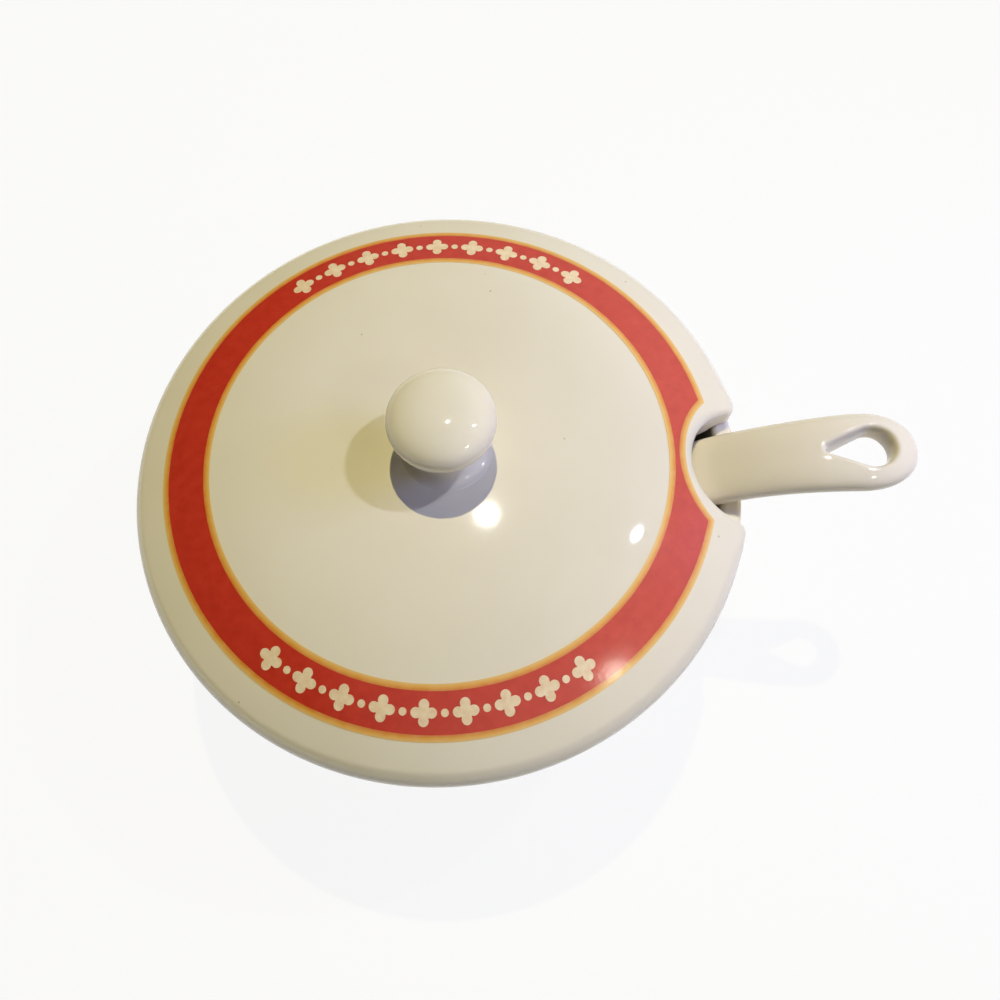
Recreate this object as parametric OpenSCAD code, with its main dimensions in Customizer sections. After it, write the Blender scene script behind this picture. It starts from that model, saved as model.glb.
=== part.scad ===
// Lidded cheese bowl with a serving spoon in the lid's notch.
// Millimetres. The foot stands on z = 0, +Z is up and +X points along the spoon's handle.

/* [Bowl] */
// Outer diameter of the bowl at its rim
bowl_d = 129; // [115:1:145]
// Height of the rim above the table
bowl_h = 66; // [58:1:76]
// Thickness of the bowl's wall
bowl_wall = 4.6; // [4:0.1:5.5]
// Lean of the wall at the rim, in degrees from upright
rim_lean = 8; // [5:1:11]
// Radius of the rim's rounded corners
rim_round = 1.6; // [1:0.1:1.9]
// Outer diameter of the foot ring
foot_d = 70; // [60:1:80]
// Width of the foot ring
foot_w = 5; // [3.5:0.5:7]
// Height of the foot's upright side
foot_h = 4.5; // [3:0.5:6]
// Depth of the hollow under the base
base_recess = 3; // [2:0.5:3.5]
// Radius of the foot ring's rounded corners
foot_round = 1; // [0.5:0.1:1.5]
// Thickness of the base
floor_t = 5.5; // [4.5:0.5:7]
// Radius between the floor and the wall inside
floor_fillet = 14; // [8:1:18]

/* [Lid] */
// How far the lid stands out past the bowl's rim
lid_overhang = 0.5; // [0:0.1:1.5]
// Gap left between the lid's seat and the rim
seat_gap = 0.3; // [0.2:0.05:0.5]
// Height of the crown above the lid's seat
lid_rise = 14; // [13:0.5:17]
// Thickness of the lid's wall
lid_wall = 5; // [4:0.1:5.5]
// Radius of the nearly flat crown
crown_r = 560; // [400:10:800]
// Diameter of the crown, where the shoulder begins
crown_d = 68; // [60:1:74]
// Height above the seat at which the shoulder would reach the lid's edge
edge_h = 4.7; // [4:0.1:6]
// Radius of the lid's edge at the seat
edge_foot_r = 1.4; // [1:0.1:1.8]
// Gap between the flange and the bowl's wall
flange_gap = 1; // [0.6:0.1:1.6]
// Width of the flange
flange_w = 4.5; // [3.5:0.1:5.5]
// Depth of the flange below the seat
flange_h = 5; // [4:0.5:7]
// Radius between the flange and the lid's hollow
flange_fillet = 4; // [2:0.5:5]
// Radius of the flange's lower corners
flange_round = 1.2; // [0.8:0.1:1.6]

/* [Notch] */
// Gap between the handle and each side of the notch
notch_gap = 5.1; // [3.5:0.1:6]
// Radius of the notch's outer corners
notch_corner = 3.5; // [2.5:0.1:4.5]

/* [Knob] */
// Diameter of the flattened ball
ball_d = 22; // [18:0.5:26]
// Height of the flattened ball
ball_h = 11; // [9:0.2:14]
// Height of the ball's middle above the lid's crown
ball_rise = 13; // [12:0.2:16]
// Diameter of the neck
neck_d = 12.5; // [10:0.5:15]
// Radius of the flare between the neck and the lid
neck_flare = 3.4; // [2.5:0.1:4.2]
// Distance of the knob from the lid's axis, towards the notch
knob_shift = 1.4; // [0:0.1:2]

/* [Spoon] */
// Width of the handle where it crosses the rim
handle_w = 15.2; // [13:0.1:18]
// Width of the handle's end
handle_end_w = 17.2; // [15:0.1:20]
// Thickness of the handle
handle_t = 7; // [5.5:0.1:8]
// Gap left between the handle and the rim
rest_gap = 0.4; // [0.3:0.05:0.6]
// Gap left between the scoop and the floor inside
scoop_gap = 0.4; // [0.3:0.05:0.6]
// Slope of the handle over the rim, in degrees
handle_slope = 27; // [22:1:30]
// Slope of the handle's end, in degrees
end_slope = -8; // [-14:1:0]
// Reach of the handle past its place on the rim
handle_reach = 36; // [30:1:50]
// Rise of the handle's end above its place on the rim
handle_rise = 6.3; // [3:0.1:9]
// Width of the neck between the scoop and the handle
spoon_neck_w = 11; // [9:0.5:13]
// Length of the scoop
scoop_l = 46; // [38:1:52]
// Width of the scoop
scoop_w = 33; // [26:1:38]
// Depth of the scoop's hollow
scoop_depth = 8.5; // [6:0.5:11]
// Thickness of the scoop's wall
scoop_t = 3.6; // [3:0.1:4.5]
// Distance of the scoop's tip past the bowl's axis
tip_past = 8; // [2:1:12]
// Slope of the scoop's tip, in degrees
tip_slope = 18; // [12:1:24]

/* [Eye] */
// Radius of the eye's round end at its waist
eye_r = 3.3; // [3:0.1:4.6]
// Length of the eye from its point to its round end
eye_l = 11.5; // [10:0.5:14]
// Distance from the handle's end to the eye's round end
eye_end = 6.6; // [5.5:0.1:8]
// How much wider the eye is at the faces than at its waist
eye_flare = 1.5; // [1.3:0.05:1.7]

/* [Print] */
// Width of the lines
line_w = 1.45; // [1:0.05:1.8]
// Width of the red band
red_w = 8.3; // [6:0.1:9]
// Width of the red band where it passes the notch
red_neck = 0.9; // [0.5:0.1:1.5]
// Distance between the notch's edge and its line, at the middle
notch_margin = 1.6; // [1.4:0.1:2]
// Radius of the line round the notch
notch_line_r = 19.6; // [17:0.1:22]
// Thickness of the print
print_t = 0.12; // [0.1:0.01:0.2]
// Gap left between the print and the glaze
print_gap = 0.03; // [0.02:0.01:0.05]

/* [Hidden] */
$fn = 96;
arc_steps = 12;
bowl_r = bowl_d / 2;
foot_r = foot_d / 2;
lid_r = bowl_r + lid_overhang;
floor_z = base_recess + floor_t;
seat_z = bowl_h + seat_gap;
crown_z = seat_z + lid_rise;
notch_r = handle_w / 2 + notch_gap;
neck_foot_r = neck_d / 2 + neck_flare;
knob_pad_r = neck_foot_r + knob_shift;
overcut = 1;

// Points on an arc round c, from angle a to angle b
function arc(c, r, a, b, steps = arc_steps) =
    [for (i = [0:steps]) c + r * [cos(a + (b - a) * i / steps), sin(a + (b - a) * i / steps)]];

function unit(angle) = [cos(angle), sin(angle)];

function leg(hypotenuse, side) = sqrt(hypotenuse * hypotenuse - side * side);

// The bowl's wall is an arc from the top of the foot to the rim
wall_low = [foot_r, foot_h];
wall_high = [bowl_r, bowl_h - rim_round];
wall_chord = wall_low - wall_high;
wall_r = -(wall_chord * wall_chord) / (2 * wall_chord * unit(-rim_lean));
wall_c = wall_high - wall_r * unit(-rim_lean);
wall_inner_r = wall_r - bowl_wall;
fillet_c = [
    wall_c.x + leg(wall_inner_r - floor_fillet, floor_z + floor_fillet - wall_c.y),
    floor_z + floor_fillet
];
rim_inner_r = wall_c.x + leg(wall_inner_r, wall_high.y - wall_c.y);
rim_c = [rim_inner_r + rim_round, bowl_h - rim_round];

// Arcs of the lid's top: the crown, the shoulder down to the edge, and the edge's full round
crown_c = [0, crown_z - leg(crown_r, knob_pad_r)];
crown_in = acos(knob_pad_r / crown_r);
crown_out = acos(crown_d / 2 / crown_r);
crown_end = crown_c + crown_r * unit(crown_out);
shoulder_chord = [lid_r, seat_z + edge_h] - crown_end;
shoulder_r = -(shoulder_chord * shoulder_chord) / (2 * shoulder_chord * unit(crown_out));
shoulder_c = crown_end - shoulder_r * unit(crown_out);
edge_low = [lid_r, seat_z + edge_foot_r] - shoulder_c;
edge_r = (shoulder_r * shoulder_r - edge_low * edge_low) / (2 * (shoulder_r - edge_low.x));
edge_c = [lid_r - edge_r, seat_z + edge_foot_r];
shoulder_out = acos((edge_c.x - shoulder_c.x) / (shoulder_r - edge_r));

// The flange and the hollow inside it
flange_r = rim_inner_r - flange_gap;
hollow_r = flange_r - flange_w;
hollow_arc_r = shoulder_r - lid_wall;
hollow_c = [
    hollow_r - flange_fillet,
    shoulder_c.y + leg(hollow_arc_r - flange_fillet, hollow_r - flange_fillet - shoulder_c.x)
];
hollow_out = acos((hollow_c.x - shoulder_c.x) / (hollow_arc_r - flange_fillet));

// Middle of the circle that rounds the corner between the notch and the lid's edge
corner_x = (pow(lid_r - notch_corner, 2) + pow(lid_r, 2) - pow(notch_r + notch_corner, 2)) / (2 * lid_r);
corner_c = [corner_x, leg(lid_r - notch_corner, corner_x)];

// Height of the lid's top at distance r from its axis
function top_z(r) = r < crown_d / 2
    ? crown_c.y + leg(crown_r, r)
    : shoulder_c.y + leg(shoulder_r, r - shoulder_c.x);

module bowl() {
    color("ivory") rotate_extrude() polygon(concat(
        [[0, base_recess]],
        arc([foot_r - foot_w - foot_round, base_recess - foot_round], foot_round, 90, 0),
        arc([foot_r - foot_w + foot_round, foot_round], foot_round, 180, 270),
        arc([foot_r - foot_round, foot_round], foot_round, 270, 360),
        arc(wall_c, wall_r, asin((wall_low.y - wall_c.y) / wall_r), -rim_lean, 3 * arc_steps),
        arc([bowl_r - rim_round, bowl_h - rim_round], rim_round, 0, 90),
        arc(rim_c, rim_round, 90, 180),
        arc(wall_c, wall_inner_r, asin((wall_high.y - wall_c.y) / wall_inner_r),
            asin((fillet_c.y - wall_c.y) / (wall_inner_r - floor_fillet)), 3 * arc_steps),
        arc(fillet_c, floor_fillet, asin((fillet_c.y - wall_c.y) / (wall_inner_r - floor_fillet)), -90),
        [[0, floor_z]]
    ));
}

// The lid before its notch is cut
module lid_turned() {
    flange_low = seat_z - flange_h;
    rotate_extrude() polygon(concat(
        [[0, crown_z]],
        arc(crown_c, crown_r, crown_in, crown_out),
        arc(shoulder_c, shoulder_r, crown_out, shoulder_out, 2 * arc_steps),
        arc(edge_c, edge_r, shoulder_out, 0),
        arc([lid_r - edge_foot_r, seat_z + edge_foot_r], edge_foot_r, 0, -90),
        [[flange_r, seat_z]],
        arc([flange_r - flange_round, flange_low + flange_round], flange_round, 0, -90),
        arc([hollow_r + flange_round, flange_low + flange_round], flange_round, 270, 180),
        arc(hollow_c, flange_fillet, 0, hollow_out),
        arc(shoulder_c, hollow_arc_r, hollow_out, crown_out, 2 * arc_steps),
        arc(crown_c, crown_r - lid_wall, crown_out, 90)
    ));
}

// Plan of the notch, with its outer corners opened out to rounded ones
module notch_plan() {
    translate([lid_r, 0]) circle(notch_r);
    for (side = [1, -1]) difference() {
        polygon([
            [lid_r, 0],
            [corner_c.x, side * corner_c.y],
            [corner_c.x, side * corner_c.y] * (lid_r + overcut) / (lid_r - notch_corner)
        ]);
        translate([corner_c.x, side * corner_c.y]) circle(notch_corner);
    }
}

// Cutter that stops the flange on both sides of the notch, up to the plain wall of the lid
module flange_stop() {
    low = seat_z - flange_h - overcut;
    flange_out = acos((flange_r - shoulder_c.x) / hollow_arc_r);
    intersection() {
        translate([0, -notch_r, low]) cube([lid_r, 2 * notch_r, flange_h + lid_rise]);
        rotate_extrude() polygon(concat(
            [[hollow_c.x, low], [flange_r, low]],
            arc(shoulder_c, hollow_arc_r, flange_out, hollow_out)
        ));
    }
}

module lid() {
    color("ivory") difference() {
        lid_turned();
        translate([0, 0, seat_z - flange_h - overcut])
            linear_extrude(flange_h + lid_rise) notch_plan();
        flange_stop();
    }
}

module knob() {
    ball_c = [0, crown_z + ball_rise];
    neck_meet = acos(neck_d / ball_d);
    function ball_point(a) = ball_c + [ball_d / 2 * cos(a), ball_h / 2 * sin(a)];
    color("ivory") translate([knob_shift, 0, 0]) rotate_extrude() polygon(concat(
        [[0, crown_z]],
        arc([neck_foot_r, crown_z + neck_flare], neck_flare, 270, 180),
        [for (i = [0:3 * arc_steps]) ball_point(-neck_meet + (90 + neck_meet) * i / (3 * arc_steps))]
    ));
}

// Point on a smooth curve between two places with a heading at each
function bend(p, p_angle, q, q_angle, t) =
    let (pull = norm(q - p))
    (2 * t * t * t - 3 * t * t + 1) * p + (t * t * t - 2 * t * t + t) * pull * unit(p_angle)
    + (3 * t * t - 2 * t * t * t) * q + (t * t * t - t * t) * pull * unit(q_angle);

// The spoon's middle line runs from the scoop's tip over the rim to the handle's end
line_steps = 60;
handle_lift = (handle_t / 2 + rest_gap + rim_round) / cos(handle_slope);
spoon_rest = rim_c + [0, handle_lift];
spoon_end = spoon_rest + [handle_reach, handle_rise];
function middle_line(tip) = concat(
    [for (i = [0:line_steps - 1]) bend(tip, tip_slope, spoon_rest, handle_slope, i / line_steps)],
    [for (i = [0:line_steps]) bend(spoon_rest, handle_slope, spoon_end, end_slope, i / line_steps)]
);
function lengths(points, i = 1, so_far = [0]) = i == len(points)
    ? so_far
    : lengths(points, i + 1, concat(so_far, so_far[i - 1] + norm(points[i] - points[i - 1])));

function hollow(d) = d < scoop_l ? scoop_depth * sin(180 * d / scoop_l) : 0;

// How far the scoop's underside hangs below its tip, from a trial line with the tip at floor level
trial_line = middle_line([-tip_past, floor_z]);
trial_length = lengths(trial_line);
scoop_sink = max([for (i = [1:line_steps])
    let (run = trial_line[i] - trial_line[i - 1])
    floor_z - trial_line[i].y + (scoop_t / 2 + hollow(trial_length[i])) * run.x / norm(run)]);

spoon_line = middle_line([-tip_past, floor_z + scoop_gap + scoop_sink]);
line_length = lengths(spoon_line);
spoon_l = line_length[len(line_length) - 1];
rest_l = line_length[line_steps];

// Place and heading on the middle line, at a distance from the scoop's tip
function place(d) = [
    lookup(d, [for (i = [0:len(spoon_line) - 1]) [line_length[i], spoon_line[i].x]]),
    lookup(d, [for (i = [0:len(spoon_line) - 1]) [line_length[i], spoon_line[i].y]])
];
function heading(d) =
    let (step = spoon_l / line_steps, run = place(min(d + step, spoon_l)) - place(max(d - step, 0)))
    atan2(run.y, run.x);

// Smooth step from 0 to 1
function ease(t) = (1 - cos(180 * min(max(t, 0), 1))) / 2;

// How full a rounded end is, at a distance from it
function end_fill(d, r) = d >= r ? 1 : sqrt(1 - pow(1 - d / r, 2));

function half_width(d) =
    (d < scoop_l / 2
        ? scoop_w / 2
        : d < rest_l
            ? scoop_w / 2 + (spoon_neck_w - scoop_w) / 2 * ease((d / scoop_l - 0.5) * 2)
                + (handle_w - spoon_neck_w) / 2 * ease((d - scoop_l) / (rest_l - scoop_l))
            : handle_w / 2 + (handle_end_w - handle_w) / 2 * ease((d - rest_l) / (spoon_l - rest_l)))
    * end_fill(d, scoop_l / 2) * end_fill(spoon_l - d, handle_end_w / 2);

function half_thick(d) =
    (scoop_t / 2 + (handle_t - scoop_t) / 2 * ease((d - scoop_l / 2) / (rest_l - scoop_l)))
    * end_fill(d, scoop_t / 2) * end_fill(spoon_l - d, handle_t / 2);

function squared(v, power) = sign(v) * pow(abs(v), 2 / power);

// Closed skin over a row of rings that have the same number of points
module skin(rings) {
    count = len(rings[0]);
    last = len(rings) - 1;
    polyhedron(
        points = [for (ring = rings) each ring],
        faces = concat(
            [[for (k = [0:count - 1]) k]],
            [for (i = [0:last - 1], k = [0:count - 1])
                let (a = i * count + k, b = i * count + (k + 1) % count)
                each [[a, a + count, b], [b, a + count, b + count]]],
            [[for (k = [count - 1:-1:0]) last * count + k]]
        )
    );
}

module spoon_solid() {
    stations = 56;
    sides = 24;
    section_power = 2.6;
    end_margin = 0.15;
    end_bunching = 0.14;
    function station(i) = end_margin
        + (spoon_l - 2 * end_margin) * (i / stations - end_bunching * sin(360 * i / stations));
    function across(k) = squared(cos(360 * k / sides), section_power);
    function upward(k) = squared(sin(360 * k / sides), section_power);
    rings = [for (i = [0:stations])
        let (d = station(i), p = place(d), a = heading(d))
        let (w = half_width(d), t = half_thick(d), h = hollow(d))
        [for (k = [0:sides - 1])
            let (lift = t * upward(k) - h * (1 - pow(across(k), 2)))
            [p.x - lift * sin(a), w * across(k), p.y + lift * cos(a)]]];
    skin(rings);
}

// Plan of the eye at its waist, with the middle of its round end at the origin
module eye_plan() {
    point = [eye_r - eye_l, 0];
    touch = acos(eye_r / norm(point));
    circle(eye_r);
    polygon([point, eye_r * unit(180 - touch), eye_r * unit(180 + touch)]);
}

module eye_cutter() {
    d = spoon_l - eye_end - eye_r;
    p = place(d);
    reach = handle_t / 2 + overcut;
    translate([p.x, 0, p.y]) rotate([0, -heading(d), 0])
        for (side = [0, 1]) mirror([0, 0, side])
            linear_extrude(reach, scale = 1 + (eye_flare - 1) * reach / (handle_t / 2)) eye_plan();
}

module spoon() {
    color("ivory") difference() {
        spoon_solid();
        eye_cutter();
    }
}

// A ring of print on the lid's top, between two radii
module print_ring(r_in, r_out) {
    steps = 8;
    radii = [for (i = [0:steps]) r_in + (r_out - r_in) * i / steps];
    rotate_extrude() polygon(concat(
        [for (r = radii) [r, top_z(r) + print_gap]],
        [for (i = [steps:-1:0]) [radii[i], top_z(radii[i]) + print_gap + print_t]]
    ));
}

// The print is set out from the notch: its line, the narrow of the red band, then the inner line
notch_line_in = lid_r - notch_r - notch_margin;
notch_line_x = notch_line_in + notch_line_r;
red_in = notch_line_in - line_w - red_neck;
red_out = red_in + red_w;

// Upright cylinder round which the print turns in at the notch
module notch_field(r) {
    translate([notch_line_x, 0, seat_z]) cylinder(h = lid_rise + overcut, r = r);
}

module red_band() {
    color("firebrick") difference() {
        print_ring(red_in, red_out);
        notch_field(notch_line_r + line_w);
    }
}

module inner_line() {
    color("goldenrod") print_ring(red_in - line_w, red_in);
}

module outer_line() {
    color("goldenrod") {
        difference() {
            print_ring(red_out, red_out + line_w);
            notch_field(notch_line_r);
        }
        difference() {
            intersection() {
                print_ring(red_in, red_out);
                notch_field(notch_line_r + line_w);
            }
            notch_field(notch_line_r);
        }
    }
}

bowl();
lid();
knob();
spoon();
red_band();
inner_line();
outer_line();
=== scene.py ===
"""Looks of a lidded cheese bowl with its serving spoon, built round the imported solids."""

import math

import bmesh
import bpy
import numpy as np
from mathutils import Matrix, Vector


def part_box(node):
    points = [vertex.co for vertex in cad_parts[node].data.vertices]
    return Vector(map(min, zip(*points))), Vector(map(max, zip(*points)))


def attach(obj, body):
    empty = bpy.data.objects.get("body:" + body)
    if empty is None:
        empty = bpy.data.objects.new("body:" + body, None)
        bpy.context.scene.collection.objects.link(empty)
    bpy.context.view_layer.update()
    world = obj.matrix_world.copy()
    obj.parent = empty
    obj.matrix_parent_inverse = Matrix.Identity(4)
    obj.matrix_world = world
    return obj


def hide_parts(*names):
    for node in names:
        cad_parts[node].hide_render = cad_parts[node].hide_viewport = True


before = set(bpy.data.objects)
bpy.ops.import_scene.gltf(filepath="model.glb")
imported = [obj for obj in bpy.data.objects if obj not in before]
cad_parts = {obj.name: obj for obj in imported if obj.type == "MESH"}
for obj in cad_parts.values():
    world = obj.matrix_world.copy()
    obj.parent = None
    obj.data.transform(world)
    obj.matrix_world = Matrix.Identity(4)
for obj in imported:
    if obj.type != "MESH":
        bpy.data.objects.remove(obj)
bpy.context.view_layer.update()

# Lengths are millimetres, and MM turns them to metres. Angles are degrees, apart from the camera's.
MM = 0.001


def node_box(node):
    """Lowest and highest corner of a CAD node."""
    return [np.array(corner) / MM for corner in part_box(node)]


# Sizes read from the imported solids, less what the knob and the red band are trimmed by
TOP_TRIM = 0.5
BALL_TRIM = 0.35
RED_TRIM = 0.3
BOWL_R, BOWL_H = node_box("bowl")[1][1:]
LID_LOW, LID_HIGH = node_box("lid")
KNOB_LOW, KNOB_HIGH = node_box("knob")
LID_R = LID_HIGH[1]
FLANGE_LOW = LID_LOW[2]
CROWN_Z = KNOB_LOW[2]
KNOB_TOP = KNOB_HIGH[2] - TOP_TRIM
KNOB_X = (KNOB_LOW[0] + KNOB_HIGH[0]) / 2
BALL_R = KNOB_HIGH[1] - BALL_TRIM
RED_OUT = node_box("red_band")[1][1] - RED_TRIM

# Bowl
BOWL_WALL = 4.6
RIM_LEAN = 8
RIM_ROUND = 1.6
FOOT_R = 35
FOOT_W = 5
FOOT_H = 4.5
FOOT_ROUND = 1
FOOT_SOFTENING = 2.2
BASE_RECESS = 3
FLOOR_Z = 8.5
FLOOR_FILLET = 14
FLOOR_RADII = (18, 12, 6)

# Lid
SEAT_GAP = 0.3
SEAT_Z = BOWL_H + SEAT_GAP
LID_WALL = 5
CROWN_R = 560
CROWN_D = 68
DOME_SOFTENING = 5
EDGE_H = 4.7
EDGE_FOOT = 1.4
FLANGE_GAP = 1
FLANGE_W = 4.5
FLANGE_FILLET = 4
FLANGE_ROUND = 1.2
SEAT_SOFTENING = 1
SEAT_RUN = 2
NOTCH_R = 12.7
NOTCH_CORNER = 2.6
NOTCH_LIP = 1.6
NOTCH_FOOT = 0.9
NOTCH_FADE = 9
ROUND_R = 44
CORNER_SPREAD = 26
CROWN_START_R = 4
HOLLOW_END_R = 1

# Knob
NECK_R = 6.25
NECK_FLARE = 3.4
NECK_FOOT_R = NECK_R + NECK_FLARE
BALL_H = 11
CAP_H = 5
CAP_POWER = 2.4
CAP_END = 89
KNOB_SUNK = 0.1

# Spoon
HANDLE_W = 15.2
HANDLE_END_W = 17.2
HANDLE_T = 7
SPOON_NECK_W = 11
SCOOP_L = 46
SCOOP_W = 33
SCOOP_DEPTH = 8.5
SCOOP_T = 3.6
REST_GAP = 0.4
REST_SLOPE = 27
TIP_SLOPE = 18
END_SLOPE = -8
SECTION_POWER = 2.6
HANDLE_END_L = 12.5
HANDLE_END_POWER = 2.2
EYE_R = 4
EYE_POINT_R = 0.8
EYE_L = 12.6
EYE_END = 5.5
EYE_ROUND = 1.4
EYE_POWER = 2.5
PATCH_MARGIN = 4
END_DEPTH = 0.05

# Print on the lid
LINE_W = 1.2
RED_W = 8
RED_IN = RED_OUT - RED_W
NOTCH_LINE_R = 19.6
NOTCH_MARGIN = 1.6
NOTCH_LINE_X = LID_R - NOTCH_R - NOTCH_MARGIN + NOTCH_LINE_R
PRINT_SUNK = 0.04
RED_LIFT = 0.06
GOLD_LIFT = 0.08
GOLD_LAP = 0.1
CREAM_LIFT = 0.1
PRINT_CREASE = 50
FLORETS = 9
FLORET_STEP = 8.7
FLORET_R = 2.5
PETAL_ROOT = 0.42
PETAL_RISE = 0.58
PETAL_POWER = 0.7
DOT_R = 0.75
BORDER_MIDDLES = {"cream_border_back": 92, "cream_border_front": -92}

# Fineness of the meshes
MERGE_GAP = 1e-3
AXIS_R = 0.5
BOWL_COLUMNS = 360
KNOB_COLUMNS = 192
SMALL_ROUND_STEPS = 6
ROUND_STEPS = 8
WALL_STEPS = 60
WALL_FIRST_STEP = 0.5
INSIDE_STEPS = 50
FILLET_STEPS = 24
DOME_SAMPLES = 9
NOTCH_STEPS = 50
CORNER_STEPS = 18
RIM_STEPS = 230
SEAT_STEPS = 5
HOLLOW_POINTS = 26
CROWN_RINGS = 22
SHOULDER_RINGS = 16
EDGE_RINGS = 16
FOOT_RINGS = 8
FLARE_STEPS = 12
NECK_POINTS = 5
BALL_POINTS = 25
CAP_POINTS = 45
LINE_POINTS = 200
SECTION_STEPS = 24
BODY_RINGS = 121
RING_CROWDING = 0.07
EYE_POINT_STEPS = 12
EYE_STEPS = 60
EYE_SAMPLES = 6
SIDE_POINTS = 20
END_POINTS = 56
PATCH_RINGS = 31
FILM_POINTS = 7
FILM_STEPS = 720
FILM_SHARES = (0.35, 0.7, 1)
PETAL_STEP = 6
DOT_STEP = 20


def unit(angle):
    """Direction at an angle in degrees."""
    return np.array([math.cos(math.radians(angle)), math.sin(math.radians(angle))])


def units(angles):
    """Directions at angles in degrees."""
    return np.column_stack([np.cos(np.radians(angles)), np.sin(np.radians(angles))])


def arc(centre, radius, start, end, steps):
    """Points on an arc, from one angle to another in degrees."""
    return list(np.array(centre) + radius * units(np.linspace(start, end, steps + 1)))


def leg(hypotenuse, side):
    """The other short side of a right triangle, or 0 past its reach."""
    return np.sqrt(np.maximum(np.square(hypotenuse) - np.square(side), 0))


def ease(t):
    """Smooth step from 0 to 1."""
    return (1 - np.cos(np.pi * np.clip(t, 0, 1))) / 2


def angle_of(v):
    return math.degrees(math.atan2(v[1], v[0]))


def soft_corner(before, corner, after, steps=ROUND_STEPS):
    """Points of a smooth turn from one point to another, drawn towards a corner."""
    t = np.linspace(0, 1, steps + 1)[:, None]
    return list((1 - t) ** 2 * before + 2 * t * (1 - t) * corner + t ** 2 * after)


# Meshes
def new_piece(name, shape, material, body, node=None, crease=None, tone=None):
    """Makes a mesh piece from points in millimetres and faces, and rides it on a CAD body."""
    points, faces = shape
    mesh = bpy.data.meshes.new(name)
    mesh.from_pydata((np.asarray(points) * MM).tolist(), [], faces)
    if tone is not None:
        mesh.attributes.new("tone", "FLOAT", "POINT").data.foreach_set("value", tone)
    tidy = bmesh.new()
    tidy.from_mesh(mesh)
    bmesh.ops.remove_doubles(tidy, verts=tidy.verts, dist=MERGE_GAP * MM)
    bmesh.ops.recalc_face_normals(tidy, faces=tidy.faces)
    tidy.to_mesh(mesh)
    tidy.free()
    mesh.shade_smooth()
    if crease:
        mesh.set_sharp_from_angle(angle=math.radians(crease))
    mesh.materials.append(material)
    piece = bpy.data.objects.new(name, mesh)
    bpy.context.scene.collection.objects.link(piece)
    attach(piece, body)
    if node:
        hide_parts(node)


def grid_faces(rows, columns, wrap_rows=False):
    """Quads over a grid of points whose rows close on themselves."""
    faces = []
    for i in range(rows if wrap_rows else rows - 1):
        below = i * columns
        above = (i + 1) % rows * columns
        for k in range(columns):
            n = (k + 1) % columns
            faces.append((below + k, below + n, above + n, above + k))
    return faces


def skin(rings):
    """Points and faces of a closed skin over rings of points, with a middle point at each end."""
    rings = np.asarray(rings)
    rows, columns = rings.shape[:2]
    points = np.vstack([rings.reshape(-1, 3), rings[0].mean(0), rings[-1].mean(0)])
    first, last = rows * columns, rows * columns + 1
    faces = grid_faces(rows, columns)
    for k in range(columns):
        n = (k + 1) % columns
        faces.append((first, n, k))
        faces.append((last, (rows - 1) * columns + k, (rows - 1) * columns + n))
    return points, faces


def turned(profile, columns, x=0):
    """Closed skin of a round form about an upright axis, from the profile's points."""
    angles = np.linspace(0, 2 * np.pi, columns, endpoint=False)
    rings = []
    for r, z in profile:
        rings.append(np.stack([x + r * np.cos(angles), r * np.sin(angles), np.full(columns, z)], -1))
    return skin(rings)


def joined(shapes):
    """One shape from several."""
    points, faces, count = [], [], 0
    for part_points, part_faces in shapes:
        points.append(part_points)
        faces += [tuple(count + v for v in face) for face in part_faces]
        count += len(part_points)
    return np.vstack(points), faces


# Bowl
def bowl_wall_arc():
    """Centre and radius of the arc of the bowl's outer wall, from the foot to the rim."""
    low = np.array([FOOT_R, FOOT_H])
    high = np.array([BOWL_R, BOWL_H - RIM_ROUND])
    chord = low - high
    radius = -(chord @ chord) / (2 * chord @ unit(-RIM_LEAN))
    return high - radius * unit(-RIM_LEAN), radius


def rim_inner_r():
    """Distance from the axis to the inside of the bowl's rim."""
    centre, outer = bowl_wall_arc()
    return centre[0] + leg(outer - BOWL_WALL, BOWL_H - RIM_ROUND - centre[1])


def bowl_profile():
    """Profile of the bowl: under its base, round the foot, up the outer wall and down the inside."""
    centre, outer = bowl_wall_arc()
    inner = outer - BOWL_WALL
    foot_in = FOOT_R - FOOT_W
    corner = np.array([FOOT_R, FOOT_H])
    start = math.degrees(math.asin((FOOT_H - centre[1]) / outer))
    softened = start + math.degrees(FOOT_SOFTENING / outer)
    rim_y = BOWL_H - RIM_ROUND
    inside_start = math.degrees(math.asin((rim_y - centre[1]) / inner))
    fillet_turn = math.degrees(math.asin((FLOOR_Z + FLOOR_FILLET - centre[1]) / (inner - FLOOR_FILLET)))
    fillet_c = centre + (inner - FLOOR_FILLET) * unit(fillet_turn)
    return [
        np.array([AXIS_R, BASE_RECESS]),
        *arc([foot_in - FOOT_ROUND, BASE_RECESS - FOOT_ROUND], FOOT_ROUND, 90, 0, SMALL_ROUND_STEPS),
        *arc([foot_in + FOOT_ROUND, FOOT_ROUND], FOOT_ROUND, 180, 270, ROUND_STEPS),
        *arc([FOOT_R - FOOT_ROUND, FOOT_ROUND], FOOT_ROUND, 270, 360, ROUND_STEPS),
        *soft_corner(corner - [0, FOOT_SOFTENING], corner, centre + outer * unit(softened)),
        *arc(centre, outer, softened + WALL_FIRST_STEP, -RIM_LEAN, WALL_STEPS),
        *arc([BOWL_R - RIM_ROUND, rim_y], RIM_ROUND, 0, 90, ROUND_STEPS),
        *arc([rim_inner_r() + RIM_ROUND, rim_y], RIM_ROUND, 90, 180, ROUND_STEPS),
        *arc(centre, inner, inside_start, fillet_turn, INSIDE_STEPS),
        *arc(fillet_c, FLOOR_FILLET, fillet_turn, -90, FILLET_STEPS),
        *[np.array([r, FLOOR_Z]) for r in (*FLOOR_RADII, AXIS_R)],
    ]


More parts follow.
